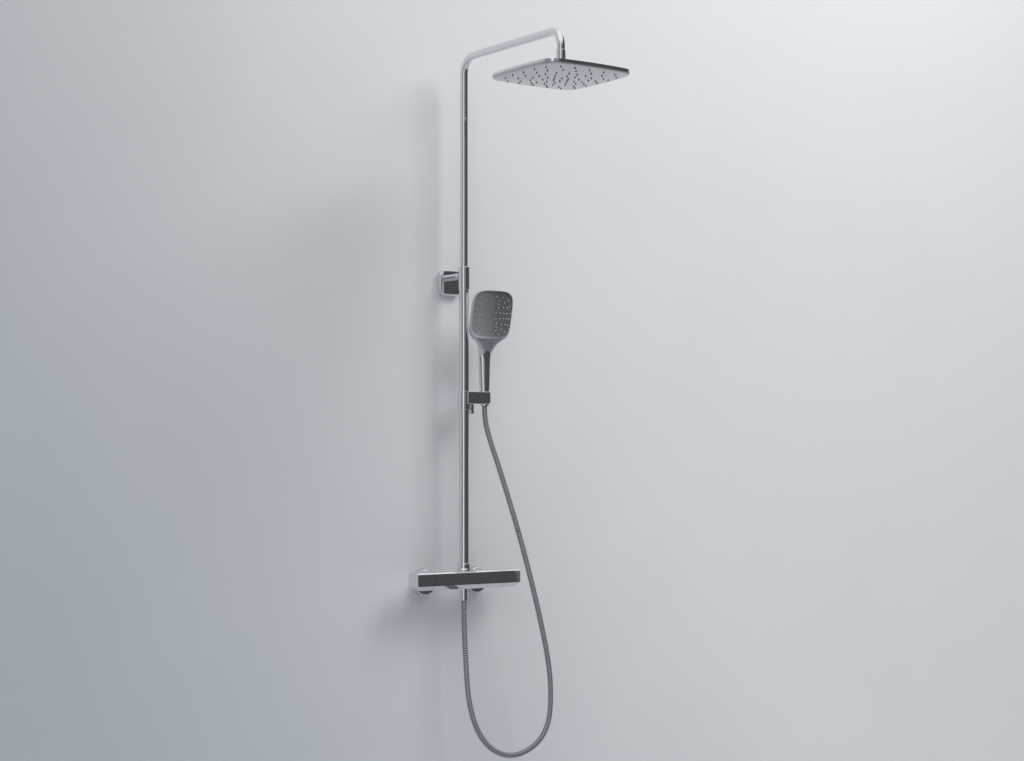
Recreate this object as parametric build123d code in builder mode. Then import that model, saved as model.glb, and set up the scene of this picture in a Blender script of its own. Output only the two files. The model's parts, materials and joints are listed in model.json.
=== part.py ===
from build123d import *

import os
from math import cos, pi, radians, sin, tan

os.makedirs("parts", exist_ok=True)

# The frame: origin midway between the two wall inlets on the wall's face, X right along the wall,
# Y into the wall, Z up. All lengths are in millimetres.

# ---------------------------------------------------------------- driving dimensions
inlet_spacing = 150.0
column_y = -70.0             # the column stands this far from the wall
mixer_z = 7.0                # the unions are eccentric, so the mixer sits above the inlets
arm_z = 1252.0               # axis of the horizontal arm
arm_reach = 380.0            # from the column's axis to the rain head's axis
gap = 0.3                    # between pieces that move past each other
fit = 0.08                   # radial clearance of a running fit
snug = 0.05                  # radial clearance of a screwed or pushed-in piece

inlet_x = inlet_spacing / 2
head_y = column_y - arm_reach

# Mixer: a bar with a flat front and a round back, and a knob with the same section at each end.
bar_half_length = 147.5
seam_x = 101.5
seam_gap = 0.6
bar_front, bar_back = column_y - 26.0, column_y + 16.0
bar_top, bar_bottom = mixer_z + 21.5, mixer_z - 21.5
spindle_y = column_y - 5.0
body_end = seam_x - seam_gap / 2
knob_start = seam_x + seam_gap / 2
cartridge_r = 15.0
cartridge_inner_end = 39.0
spindle_r = 4.0
knob_cavity_r = 17.3
knob_cavity_end = 130.0
knob_screw_x = 115.0

# Wall unions, counted outwards from the wall.
barrel_r, barrel_length = 13.5, 20.0
wall_thread_r, wall_thread_length = 10.4, 15.0
union_thread_r, union_length = 13.1, 34.0
stub_start = 36.0
stub_flange_end = 38.5
stub_flange_r, stub_r = 12.4, 11.0
valve_seat_r, valve_seat_end = 8.2, 49.0
escutcheon_r, escutcheon_front_r, escutcheon_depth = 33.0, 30.5, 18.0

# Column.
lower_r, upper_r = 12.0, 9.5
tube_wall, lower_wall = 1.0, 1.1
nipple_r, nipple_top = 13.4, mixer_z + 30.0
lower_tube_start, lower_tube_top = 39.0, 741.5
riser_nut_top = 45.5
rear_bend_r, front_bend_r = 40.0, 34.0
arm_tube_start, arm_tube_end = 655.0, 1190.5
bush_bottom, bush_top = 611.0, 652.0
spigot_r = 8.2

# Wall bracket and telescope sleeve.
sleeve_bottom, sleeve_top, sleeve_r = 698.3, 753.2, 13.75
sleeve_step = 742.0
stem_z, stem_r = 732.0, 8.0
stem_spigot_r = 6.0
rosette_z, rosette_width, rosette_height, rosette_depth = 719.0, 64.0, 62.0, 16.0
base_depth, boss_depth, boss_r = 5.0, 12.0, 10.0
wall_screw_x, wall_screw_z, wall_screw_r = 16.0, 708.0, 2.4
wall_screw_length, wall_screw_neck_r = 35.0, 2.2

# Rain head.
ball_z, ball_r = 1163.0, 9.0
seat_r = 12.0
ball_nut_r, ball_nut_bottom, ball_nut_top = 11.0, 1179.0, 1206.6
boss_outer_r, boss_top = 14.5, 1166.0
cap_r, cap_bottom, cap_top = 17.0, 1158.3, 1174.0
head_half, head_bulge, head_corner = 115.2, 7.8, 34.0
rim_top, rim_bottom = 1156.3, 1151.0
plate_rim, dome_drop, plate_edge_r = 1145.8, 6.3, 4.0
head_wall, plate_thickness = 1.5, 2.5
plate_wall, plate_lip = 3.5, 3.0
roof_thickness, boss_floor = 1.5, 1149.0
squareness = 5.0             # power of the soft square that the underside's contours follow

# Slider and holder.
collar_r, collar_bottom, collar_top = 14.5, 411.6, 456.7
liner_r = 12.9
block_left, block_right, block_half_depth = 2.0, 66.0, 15.8
block_bottom, block_top, block_corner = 426.0, 455.5, 4.5
lever_left, lever_right, lever_half_width = 17.5, 24.0, 6.0
lever_bottom, lever_top = 402.6, 445.0
lever_x, pivot_z, pivot_r = 20.75, 436.0, 1.5
slot_left, slot_right, slot_half_width, slot_top = 13.0, 25.5, 6.4, 447.0
spring_recess_r, spring_recess_half = 3.8, 2.6

# Handset.
handset_x = 60.0
cone_top, cone_bottom = 455.2, 422.0
cone_top_r, cone_bottom_r = 12.0, 10.0
face_tilt = 12.0             # degrees, the top leans towards the room
face_width, face_height, face_corner = 117.0, 117.0, 28.0
face_centre_z, face_centre_y = 638.5, column_y - 31.0
handset_depth, handset_wall, handset_back_r = 12.0, 2.0, 8.0
waterway_r, waterway_y = 4.0, column_y + 1.0
waterway_bottom, waterway_top = 443.0, 563.0
channel_start, channel_length, channel_r = 560.0, 24.1, 3.0
port_z, port_y, port_length, port_r = 584.0, column_y - 8.0, 5.0, 2.2
button_width, button_height, button_travel = 16.0, 24.0, 2.0

# Hose.
hose_r, hose_bore_r = 7.0, 5.9
connector_r, connector_bottom = 8.75, -43.0

column_axis = Axis((0, column_y, 0), (0, 0, 1))
head_axis = Axis((0, head_y, 0), (0, 0, 1))
handset_axis = Axis((handset_x, column_y, 0), (0, 0, 1))
spindle_axis = Axis((0, spindle_y, mixer_z), (1, 0, 0))
stem_axis = Axis((0, 0, stem_z), (0, -1, 0))
pivot_axis = Axis((lever_x, column_y, pivot_z), (0, 1, 0))


# ---------------------------------------------------------------- shared shapes
def turned(axis, outline, mode=Mode.ADD):
    """Revolve a closed outline of (radius, distance along the axis) points."""
    along = axis.direction
    across = Vector(0, 1, 0) if abs(along.X) > 0.5 else Vector(1, 0, 0)
    half_plane = Plane(origin=axis.position, x_dir=across, z_dir=across.cross(along))
    with BuildSketch(half_plane) as profile:
        with BuildLine():
            Polyline(*outline, close=True)
        make_face()
    revolve(profile.sketch, axis=axis, mode=mode)


def ring(axis, inner, outer, start, end, mode=Mode.ADD):
    """A plain ring, or a rod where the inner radius is zero."""
    turned(axis, [(inner, start), (outer, start), (outer, end), (inner, end)], mode)


def soft_square(plane, half_x, half_y, bulge, corner):
    """A square with bowed sides and round corners."""
    with BuildSketch(plane) as outline:
        with BuildLine():
            ThreePointArc((-half_x, -half_y), (0, -half_y - bulge), (half_x, -half_y))
            ThreePointArc((half_x, -half_y), (half_x + bulge, 0), (half_x, half_y))
            ThreePointArc((half_x, half_y), (0, half_y + bulge), (-half_x, half_y))
            ThreePointArc((-half_x, half_y), (-half_x - bulge, 0), (-half_x, -half_y))
        make_face()
        fillet(outline.vertices(), corner)
    return outline.sketch


def torus_at(centre, axis_direction, major, minor):
    """One O-ring, lying round the given direction."""
    place = Plane(origin=centre, z_dir=axis_direction)
    with Locations(place):
        Torus(major, minor)


def coil(centre, direction, radius, wire_r, pitch, height):
    """A coil spring's wire."""
    with BuildLine() as wire:
        Helix(pitch, height, radius, center=centre, direction=direction)
    with BuildSketch(Plane(origin=wire.line @ 0, z_dir=wire.line % 0)) as section:
        Circle(wire_r)
    sweep(section.sketch, path=wire.line, is_frenet=True)


def save(piece, name):
    """Label a finished piece and write it."""
    piece.label = name
    export_step(piece, f"parts/{name}.step")


# ---------------------------------------------------------------- wall connections
def build_union(x):
    """An eccentric union: wall thread, round barrel, and a nipple raised to the mixer's height."""
    wall_axis = Axis((x, 0, 0), (0, -1, 0))
    mixer_axis = Axis((x, 0, mixer_z), (0, -1, 0))
    with BuildPart() as union:
        ring(wall_axis, 0, wall_thread_r, -wall_thread_length, 0)
        ring(wall_axis, 0, barrel_r, 0, barrel_length)
        ring(mixer_axis, 0, union_thread_r, barrel_length - 2, union_length)
        ring(wall_axis, 0, 6.5, -wall_thread_length, barrel_length + 2, Mode.SUBTRACT)
        ring(mixer_axis, 0, 8.0, barrel_length - 2, union_length, Mode.SUBTRACT)
    return union.part


def build_escutcheon(x):
    """The round cup that hides the union's barrel at the wall."""
    wall_axis = Axis((x, 0, 0), (0, -1, 0))
    front, thickness = escutcheon_depth, 1.2
    edge = 1.5
    with BuildPart() as escutcheon:
        turned(wall_axis, [
            (escutcheon_r, 0),
            (escutcheon_front_r, front - edge),
            (escutcheon_front_r - edge, front),
            (barrel_r + snug, front),
            (barrel_r + snug, front - thickness),
            (escutcheon_front_r - edge - 0.5, front - thickness),
            (escutcheon_r - thickness, 0),
        ])
    return escutcheon.part


for side, side_x in (("left", -inlet_x), ("right", inlet_x)):
    save(build_union(side_x), f"wall_union_{side}")
    save(build_escutcheon(side_x), f"escutcheon_{side}")

inlet_axes = [Axis((x, 0, mixer_z), (0, -1, 0)) for x in (-inlet_x, inlet_x)]
nut_start, nut_end, nut_flats = barrel_length + 0.5, 42.0, 30.0

with BuildPart() as union_nuts:
    for inlet_axis in inlet_axes:
        with BuildSketch(Plane(inlet_axis.position, (1, 0, 0), (0, -1, 0)).offset(nut_start)):
            RegularPolygon(nut_flats / 2, 6, major_radius=False)
        extrude(amount=nut_end - nut_start)
        ring(inlet_axis, 0, union_thread_r + snug, nut_start, stub_flange_end + gap, Mode.SUBTRACT)
        ring(inlet_axis, 0, stub_r + 0.2, stub_flange_end, nut_end, Mode.SUBTRACT)
save(union_nuts.part, "union_nuts")

with BuildPart() as filter_washers:
    for inlet_axis in inlet_axes:
        ring(inlet_axis, 8.0, stub_flange_r, union_length + 0.1, stub_start - 0.1)
save(filter_washers.part, "filter_washers")

with BuildPart() as check_valves:
    for inlet_axis in inlet_axes:
        ring(inlet_axis, 4.5, valve_seat_r - 0.1, stub_start + 0.2, valve_seat_end - 0.5)
save(check_valves.part, "check_valves")


# ---------------------------------------------------------------- mixer
def bar_section(x):
    """The mixer's section across its length, at the given place."""
    with BuildSketch(Plane.YZ.offset(x)) as section:
        with BuildLine():
            Polyline(
                (column_y - 13.0, bar_bottom),
                (bar_front, bar_bottom + 10.5),
                (bar_front, bar_top - 4.5),
                (bar_front + 4.5, bar_top),
                (bar_back - 7.5, bar_top),
                (bar_back, bar_top - 7.5),
                (bar_back, bar_bottom + 7.5),
                (bar_back - 7.5, bar_bottom),
                close=True,
            )
        make_face()
        back_corners = section.vertices().group_by(Axis.Y)[-2:]
        fillet([corner for pair in back_corners for corner in pair], 5.0)
    return section.sketch


top_channel_z, bottom_channel_z, channel_r = mixer_z + 8.0, mixer_z - 8.0, 4.0
mixed_channel_y = column_y - 14.0
top_bore_r, connector_thread_r, connector_thread_top = 7.0, 8.2, -4.0
cartridge_nut_start, cartridge_nut_r = 93.0, 16.4

with BuildPart() as mixer_body:
    extrude(bar_section(-body_end), amount=2 * body_end)
    for inlet_axis in inlet_axes:
        ring(inlet_axis, 0, stub_r, stub_start, 58.0)
        ring(inlet_axis, 0, stub_flange_r, stub_start, stub_flange_end)
        ring(inlet_axis, 0, valve_seat_r, stub_start, valve_seat_end, Mode.SUBTRACT)
        ring(inlet_axis, 0, 7.0, stub_start, 66.0, Mode.SUBTRACT)
    ring(column_axis, 0, nipple_r, bar_top - 2, nipple_top)
    for end in (-1, 1):
        end_axis = Axis(spindle_axis.position, (end, 0, 0))
        ring(end_axis, 0, cartridge_r, cartridge_inner_end, body_end, Mode.SUBTRACT)
        ring(end_axis, 0, cartridge_nut_r + snug, cartridge_nut_start, body_end, Mode.SUBTRACT)
    mixed_axis = Axis((0, mixed_channel_y, mixer_z), (1, 0, 0))
    ring(mixed_axis, 0, channel_r, -cartridge_inner_end - 1, cartridge_inner_end + 1, Mode.SUBTRACT)
    for channel_z in (top_channel_z, bottom_channel_z):
        channel_axis = Axis((0, column_y, channel_z), (1, 0, 0))
        ring(channel_axis, 0, channel_r, -cartridge_inner_end - 1, channel_r, Mode.SUBTRACT)
    ring(column_axis, 0, top_bore_r, top_channel_z - 2, nipple_top, Mode.SUBTRACT)
    ring(column_axis, 0, connector_thread_r + snug, bar_bottom, connector_thread_top, Mode.SUBTRACT)
save(mixer_body.part, "mixer_body")

seal_places = (59.5, 89.5)
seal_wire_r, seal_floor_r, seal_half_width = 1.2, 12.45, 1.5
sleeve_end, port_start, port_end, port_r = 92.5, 66.0, 84.0, 11.5
piston_chamber_end, piston_chamber_r = 56.0, 8.0


def build_cartridge(end):
    """A cartridge sleeve: an inlet port all round, two seal grooves, and a chamber for its piston."""
    end_axis = Axis(spindle_axis.position, (end, 0, 0))
    with BuildPart() as cartridge:
        ring(end_axis, 0, cartridge_r - 0.1, cartridge_inner_end + 3, sleeve_end)
        ring(end_axis, port_r, cartridge_r, port_start, port_end, Mode.SUBTRACT)
        for place in seal_places:
            low, high = place - seal_half_width, place + seal_half_width
            ring(end_axis, seal_floor_r, cartridge_r, low, high, Mode.SUBTRACT)
        ring(end_axis, 0, spindle_r + fit, cartridge_inner_end, sleeve_end, Mode.SUBTRACT)
        ring(end_axis, 0, piston_chamber_r, cartridge_inner_end, piston_chamber_end, Mode.SUBTRACT)
    return cartridge.part


def build_spindle(end):
    """A cartridge spindle: the piston inside, and the stem that its knob turns."""
    end_axis = Axis(spindle_axis.position, (end, 0, 0))
    with BuildPart() as spindle:
        ring(end_axis, 0, piston_chamber_r - 0.4, 44.0, piston_chamber_end - 1.5)
        ring(end_axis, 0, spindle_r, 44.0, 122.0)
    return spindle.part


save(build_cartridge(-1), "diverter_cartridge")
save(build_cartridge(1), "thermostat_cartridge")
save(build_spindle(-1), "diverter_spindle")
save(build_spindle(1), "thermostat_spindle")

with BuildPart() as cartridge_seals:
    for end in (-1, 1):
        for place in seal_places:
            centre = (end * place, spindle_y, mixer_z)
            torus_at(centre, (1, 0, 0), seal_floor_r + seal_wire_r + 0.02, seal_wire_r)
save(cartridge_seals.part, "cartridge_seals")

with BuildPart() as cartridge_nuts:
    for end in (-1, 1):
        end_axis = Axis(spindle_axis.position, (end, 0, 0))
        ring(end_axis, 9.0, cartridge_nut_r, cartridge_nut_start, body_end - 0.4)
save(cartridge_nuts.part, "cartridge_nuts")

knob_hub_r, knob_hub_start, knob_bore_end = 8.0, 104.0, 122.5
knob_screw_r, knob_screw_length = 2.0, 3.8
knob_under_r, knob_edge_r = 14.0, 3.0
safety_x, safety_z, safety_half_x, safety_half_z = 109.0, mixer_z, 4.0, 5.0
safety_proud, safety_length, safety_travel = 0.4, 6.4, 1.5


def build_knob(end):
    """A hollow knob that carries on the bar's section and rounds up under its outer end."""
    end_axis = Axis(spindle_axis.position, (end, 0, 0))
    start, stop = sorted((end * knob_start, end * bar_half_length))
    with BuildPart() as knob:
        extrude(bar_section(start), amount=stop - start)
        with BuildSketch(Plane.XZ.offset(-column_y)) as front_view:
            with BuildLine():
                Polyline(
                    (end * knob_start, bar_bottom),
                    (end * bar_half_length, bar_bottom),
                    (end * bar_half_length, bar_top),
                    (end * knob_start, bar_top),
                    close=True,
                )
            make_face()
            outward = Axis.X if end > 0 else Axis((0, 0, 0), (-1, 0, 0))
            outer = front_view.vertices().sort_by(outward)[-2:]
            fillet(outer.sort_by(Axis.Y)[0], knob_under_r)
            upper = front_view.vertices().group_by(Axis.Y)[-1].sort_by(Axis.X)
            fillet(upper[-1] if end > 0 else upper[0], knob_edge_r)
        extrude(amount=60.0, both=True, mode=Mode.INTERSECT)
        ring(end_axis, knob_hub_r, knob_cavity_r, knob_start, knob_cavity_end, Mode.SUBTRACT)
        ring(end_axis, 0, knob_cavity_r, knob_start, knob_hub_start, Mode.SUBTRACT)
        ring(end_axis, 0, spindle_r + snug, knob_hub_start, knob_bore_end, Mode.SUBTRACT)
        screw_axis = Axis((end * knob_screw_x, spindle_y, mixer_z), (0, 0, -1))
        ring(screw_axis, 0, knob_screw_r + snug, 0, 22.0, Mode.SUBTRACT)
        if end > 0:
            pocket = Plane((safety_x, bar_front - 1, safety_z), (1, 0, 0), (0, 1, 0))
            half_x, half_z = safety_half_x + gap, safety_half_z + gap
            extrude(soft_square(pocket, half_x, half_z, 0.1, 3.0), amount=9.0, mode=Mode.SUBTRACT)
    return knob.part


def build_knob_screw(end):
    """The grub screw that locks a knob's hub to its spindle."""
    screw_axis = Axis((end * knob_screw_x, spindle_y, mixer_z), (0, 0, -1))
    start = spindle_r + 0.05
    with BuildPart() as screw:
        ring(screw_axis, 0, knob_screw_r, start, start + knob_screw_length)
        ring(screw_axis, 0, 1.0, start + knob_screw_length - 2, start + knob_screw_length, Mode.SUBTRACT)
    return screw.part


save(build_knob(-1), "flow_knob")
save(build_knob(1), "temperature_knob")
save(build_knob_screw(-1), "flow_knob_screw")
save(build_knob_screw(1), "temperature_knob_screw")

with BuildPart() as safety_button:
    front_plane = Plane((safety_x, bar_front - safety_proud, safety_z), (1, 0, 0), (0, 1, 0))
    extrude(soft_square(front_plane, safety_half_x, safety_half_z, 0.1, 2.8), amount=safety_length)
save(safety_button.part, "safety_button")

safety_spring_start = bar_front - safety_proud + safety_length + safety_travel + 0.5
safety_spring_end = spindle_y - knob_hub_r - 0.45
with BuildPart() as safety_spring:
    spring_start = (safety_x, safety_spring_start, safety_z)
    coil(spring_start, (0, 1, 0), 2.5, 0.4, 1.1, safety_spring_end - safety_spring_start)
save(safety_spring.part, "safety_spring")


# ---------------------------------------------------------------- column
flange_top = lower_tube_start + 2.0

with BuildPart() as riser_nut:
    turned(column_axis, [
        (nipple_r + snug, bar_top + gap),
        (16.0, bar_top + gap),
        (16.0, bar_top + 2.5),
        (15.0, bar_top + 5.0),
        (15.0, riser_nut_top - 1.0),
        (14.0, riser_nut_top),
        (lower_r + snug, riser_nut_top),
        (lower_r + snug, flange_top + 0.1),
        (nipple_r + snug, flange_top + 0.1),
    ])
save(riser_nut.part, "riser_nut")

with BuildPart() as riser_seal:
    ring(column_axis, 8.0, nipple_r - 0.6, nipple_top + 0.05, lower_tube_start - 0.05)
save(riser_seal.part, "riser_seal")

with BuildPart() as lower_riser_tube:
    ring(column_axis, lower_r - lower_wall, lower_r, lower_tube_start, lower_tube_top)
    ring(column_axis, lower_r - lower_wall, nipple_r - 0.1, lower_tube_start, flange_top)
save(lower_riser_tube.part, "lower_riser_tube")

sleeve_screw_z, grub_r, grub_length = 748.0, 2.0, 3.1
spigot_end_y, spigot_groove_r = 42.0, 4.6
groove_start, groove_end = 46.0, 50.0

with BuildPart() as telescope_sleeve:
    turned(column_axis, [
        (lower_r + snug, sleeve_bottom),
        (sleeve_r - 0.6, sleeve_bottom),
        (sleeve_r, sleeve_bottom + 0.6),
        (sleeve_r, sleeve_top - 1.2),
        (sleeve_r - 1.2, sleeve_top),
        (upper_r + fit, sleeve_top),
        (upper_r + fit, sleeve_step),
        (lower_r + snug, sleeve_step),
    ])
    ring(stem_axis, 0, stem_spigot_r, spigot_end_y, -column_y - lower_r - 0.5)
    ring(stem_axis, spigot_groove_r, stem_spigot_r, groove_start, groove_end, Mode.SUBTRACT)
    tapped_axis = Axis((0, column_y, sleeve_screw_z), (1, 0, 0))
    ring(tapped_axis, 0, grub_r + snug, upper_r, sleeve_r + 1, Mode.SUBTRACT)
save(telescope_sleeve.part, "telescope_sleeve")

stem_grub_y = -48.0
with BuildPart() as bracket_stem:
    ring(stem_axis, 0, stem_r, boss_depth + 0.1, 60.0)
    ring(stem_axis, 0, stem_spigot_r - 0.1, 2.0, boss_depth + 0.1)
    ring(column_axis, 0, sleeve_r + 0.03, sleeve_bottom, sleeve_top, Mode.SUBTRACT)
    ring(stem_axis, 0, stem_spigot_r + snug, spigot_end_y - 0.5, 62.0, Mode.SUBTRACT)
    stem_grub_axis = Axis((0, stem_grub_y, stem_z), (0, 0, -1))
    ring(stem_grub_axis, 0, grub_r + snug, 0, stem_r + 1, Mode.SUBTRACT)
save(bracket_stem.part, "bracket_stem")

with BuildPart() as bracket_grub_screws:
    ring(stem_grub_axis, 0, grub_r, spigot_groove_r + 0.1, spigot_groove_r + 0.1 + grub_length)
    ring(tapped_axis, 0, grub_r, upper_r + 0.2, upper_r + 0.2 + grub_length)
save(bracket_grub_screws.part, "bracket_grub_screws")

with BuildPart() as bracket_base:
    wall_plane = Plane((0, 0, rosette_z), (1, 0, 0), (0, -1, 0))
    extrude(soft_square(wall_plane, 26.0, 25.0, 0.5, 10.0), amount=base_depth)
    ring(stem_axis, 0, boss_r, 0, boss_depth)
    ring(stem_axis, 0, stem_spigot_r, 1.5, boss_depth, Mode.SUBTRACT)
    for x in (-wall_screw_x, wall_screw_x):
        hole_axis = Axis((x, 0, wall_screw_z), (0, -1, 0))
        ring(hole_axis, 0, wall_screw_r + 0.2, 0, base_depth, Mode.SUBTRACT)
save(bracket_base.part, "bracket_base")

rosette_wall, rosette_bulge, rosette_corner = 1.5, 1.0, 16.0
with BuildPart() as bracket_rosette:
    half_x = rosette_width / 2 - rosette_bulge
    half_z = rosette_height / 2 - rosette_bulge
    extrude(soft_square(wall_plane, half_x, half_z, rosette_bulge, rosette_corner), amount=rosette_depth)
    fillet(bracket_rosette.faces().sort_by(Axis.Y)[0].edges(), 4.0)
    inner = soft_square(wall_plane, half_x - rosette_wall, half_z - rosette_wall,
                        rosette_bulge, rosette_corner - rosette_wall)
    extrude(inner, amount=rosette_depth - rosette_wall - 1.5, mode=Mode.SUBTRACT)
    ring(stem_axis, 0, stem_r + 0.1, 0, rosette_depth + 1, Mode.SUBTRACT)
save(bracket_rosette.part, "bracket_rosette")

with BuildPart() as bracket_wall_screws:
    for x in (-wall_screw_x, wall_screw_x):
        screw_axis = Axis((x, 0, wall_screw_z), (0, -1, 0))
        ring(screw_axis, 0, wall_screw_r, -wall_screw_length, 0)
        ring(screw_axis, 0, wall_screw_neck_r, 0, base_depth + 0.1)
        ring(screw_axis, 0, 4.5, base_depth + 0.1, base_depth + 3.4)
        ring(screw_axis, 0, 1.6, base_depth + 1.4, base_depth + 3.4, Mode.SUBTRACT)
save(bracket_wall_screws.part, "bracket_wall_screws")

# Telescope guide: a snap-on bush that slides in the lower tube and lets the upper tube turn.
guide_seal_places = (621.2, 642.8)
guide_floor_r, guide_wire_r = 9.5, 0.62
guide_outer_r = lower_r - lower_wall - fit

with BuildPart() as riser_guide_bush:
    ring(column_axis, spigot_r + fit, guide_outer_r, bush_bottom, bush_top)
    for place in guide_seal_places:
        ring(column_axis, guide_floor_r, guide_outer_r + 1, place - 0.8, place + 0.8, Mode.SUBTRACT)
save(riser_guide_bush.part, "riser_guide_bush")

with BuildPart() as guide_seals:
    for place in guide_seal_places:
        torus_at((0, column_y, place), (0, 0, 1), guide_floor_r + guide_wire_r + 0.02, guide_wire_r)
save(guide_seals.part, "guide_seals")

with BuildPart() as riser_spigot:
    turned(column_axis, [
        (6.5, bush_bottom - 5.0),
        (9.4, bush_bottom - 5.0),
        (9.4, bush_bottom - 0.4),
        (spigot_r, bush_bottom - 0.4),
        (spigot_r, bush_top + 0.4),
        (upper_r, bush_top + 0.4),
        (upper_r, arm_tube_start),
        (upper_r - tube_wall - 0.05, arm_tube_start),
        (upper_r - tube_wall - 0.05, arm_tube_start + 17.0),
        (6.5, arm_tube_start + 17.0),
    ])
save(riser_spigot.part, "riser_spigot")

with BuildPart() as upper_riser_arm:
    with BuildLine() as arm_path:
        FilletPolyline(
            (0, column_y, arm_tube_start),
            (0, column_y, arm_z),
            (0, head_y, arm_z),
            (0, head_y, arm_tube_end),
            radius=[rear_bend_r, front_bend_r],
        )
    with BuildSketch(Plane.XY.offset(arm_tube_start)):
        with Locations((0, column_y)):
            Circle(upper_r)
            Circle(upper_r - tube_wall, mode=Mode.SUBTRACT)
    sweep(path=arm_path.line)
save(upper_riser_arm.part, "upper_riser_arm")


# ---------------------------------------------------------------- rain head
neck_r, ball_bore_r = 5.5, 3.5
nut_floor = ball_nut_bottom + 4.0

with BuildPart() as head_ball_nut:
    turned(head_axis, [
        (0, ball_z),
        (neck_r, ball_z),
        (neck_r, ball_nut_bottom),
        (ball_nut_r - 1.0, ball_nut_bottom),
        (ball_nut_r, ball_nut_bottom + 1.0),
        (ball_nut_r, ball_nut_top - 1.0),
        (ball_nut_r - 1.0, ball_nut_top),
        (upper_r + snug, ball_nut_top),
        (upper_r + snug, nut_floor),
        (0, nut_floor),
    ])
    with Locations((0, head_y, ball_z)):
        Sphere(ball_r)
    ring(head_axis, 0, ball_bore_r, ball_z - ball_r - 1, nut_floor, Mode.SUBTRACT)
save(head_ball_nut.part, "head_ball_nut")

with BuildPart() as head_seal:
    ring(head_axis, 5.0, upper_r - 0.3, nut_floor + 0.1, nut_floor + 2.5)
save(head_seal.part, "head_seal")

with BuildPart() as head_flow_limiter:
    ring(head_axis, 0, upper_r - 0.3, nut_floor + 2.6, arm_tube_end - 0.1)
    with Locations((0, head_y, arm_tube_end - 3)):
        with PolarLocations(5.5, 6):
            Cylinder(1.2, 20.0, mode=Mode.SUBTRACT)
save(head_flow_limiter.part, "head_flow_limiter")

seat_low, seat_high = ball_z - 7.0, ball_z + 4.8
with BuildPart() as head_ball_seat:
    with Locations((0, head_y, ball_z)):
        Sphere(seat_r)
        Sphere(ball_r + fit, mode=Mode.SUBTRACT)
    ring(head_axis, 0, seat_r + 1, seat_low, seat_high, Mode.INTERSECT)
save(head_ball_seat.part, "head_ball_seat")

cavity_r = seat_r + fit
shoulder_half = 30.0

with BuildPart() as head_top_shell:
    rim_plane = Plane.XY.offset(rim_bottom).move(Location((0, head_y, 0)))
    head_height = rim_top - rim_bottom
    extrude(soft_square(rim_plane, head_half, head_half, head_bulge, head_corner), amount=head_height)
    roof = [
        soft_square(rim_plane.offset(head_height), head_half, head_half, head_bulge, head_corner),
        soft_square(rim_plane.offset(cap_bottom - rim_bottom - gap), shoulder_half, shoulder_half,
                    head_bulge * shoulder_half / head_half, head_corner * shoulder_half / head_half),
    ]
    loft(roof, ruled=True)
    half = head_half - head_wall
    extrude(soft_square(rim_plane, half, half, head_bulge, head_corner - head_wall),
            amount=head_height - roof_thickness, mode=Mode.SUBTRACT)
    ring(head_axis, 0, boss_outer_r, boss_floor, boss_top)
    with Locations((0, head_y, ball_z)):
        Sphere(cavity_r, mode=Mode.SUBTRACT)
    ring(head_axis, 0, cavity_r, ball_z, boss_top, Mode.SUBTRACT)
    ring(head_axis, 0, 6.0, boss_floor - 1, ball_z, Mode.SUBTRACT)
save(head_top_shell.part, "head_top_shell")

with BuildPart() as head_ball_cap:
    turned(head_axis, [
        (0, cap_bottom),
        (cap_r, cap_bottom),
        (cap_r, cap_top - 3.0),
        (cap_r - 3.0, cap_top),
        (0, cap_top),
    ])
    ring(head_axis, 0, boss_outer_r + snug, cap_bottom, boss_top + 0.2, Mode.SUBTRACT)
    with Locations((0, head_y, ball_z)):
        Sphere(cavity_r, mode=Mode.SUBTRACT)
    turned(head_axis, [(0, ball_z), (9.2, ball_z), (9.2, ball_z + 7), (10.2, cap_top + 0.1), (0, cap_top + 0.1)],
           Mode.SUBTRACT)
save(head_ball_cap.part, "head_ball_cap")


def dome_section(share, lift, inset=0.0):
    """One contour of the domed underside: a share of the full outline, at its own height."""
    height = plate_rim - dome_drop * (1 - share ** 2) + lift
    plane = Plane((0, head_y, height), (1, 0, 0), (0, 0, 1))
    full = head_half - inset
    return soft_square(plane, full * share, full * share, head_bulge * share, (head_corner - inset) * share)


dome_shares = (1.0, 0.8, 0.6, 0.4, 0.2)
nozzle_rings = [
    [(40 * i, 103) for i in (-1, 0, 1)] + [(75, 98), (-75, 98)],
    [(-21, 82), (21, 82), (-54, 78), (54, 78)],
    [(-23, 60), (0, 60), (23, 60), (49, 48)],
]
inner_nozzles = [(37, 0), (-37, 0), (33, 23), (33, -23), (-33, 23), (-33, -23)]
inner_nozzles += [(11, 37), (-11, 37), (11, -37), (-11, -37)]
head_nozzle_hole_r = 2.0


def head_nozzle_places():
    """The nozzles' places from the head's centre: three square rings, a small ring and a hexagon."""
    places = list(inner_nozzles)
    for one_side in nozzle_rings:
        for along, out in one_side:
            places += [(along, out), (-out, along), (-along, -out), (out, -along)]
    for step in range(6):
        angle = radians(60 * step)
        places.append((18 * cos(angle), 18 * sin(angle)))
    return places


def underside_z(x, y):
    """Height of the domed underside at a place counted from the head's centre."""
    share = (abs(x) ** squareness + abs(y) ** squareness) ** (1 / squareness) / (head_half + head_bulge)
    return plate_rim - dome_drop * (1 - share ** 2)


nozzle_points = [(x, head_y + y, underside_z(x, y)) for x, y in head_nozzle_places()]

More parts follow.
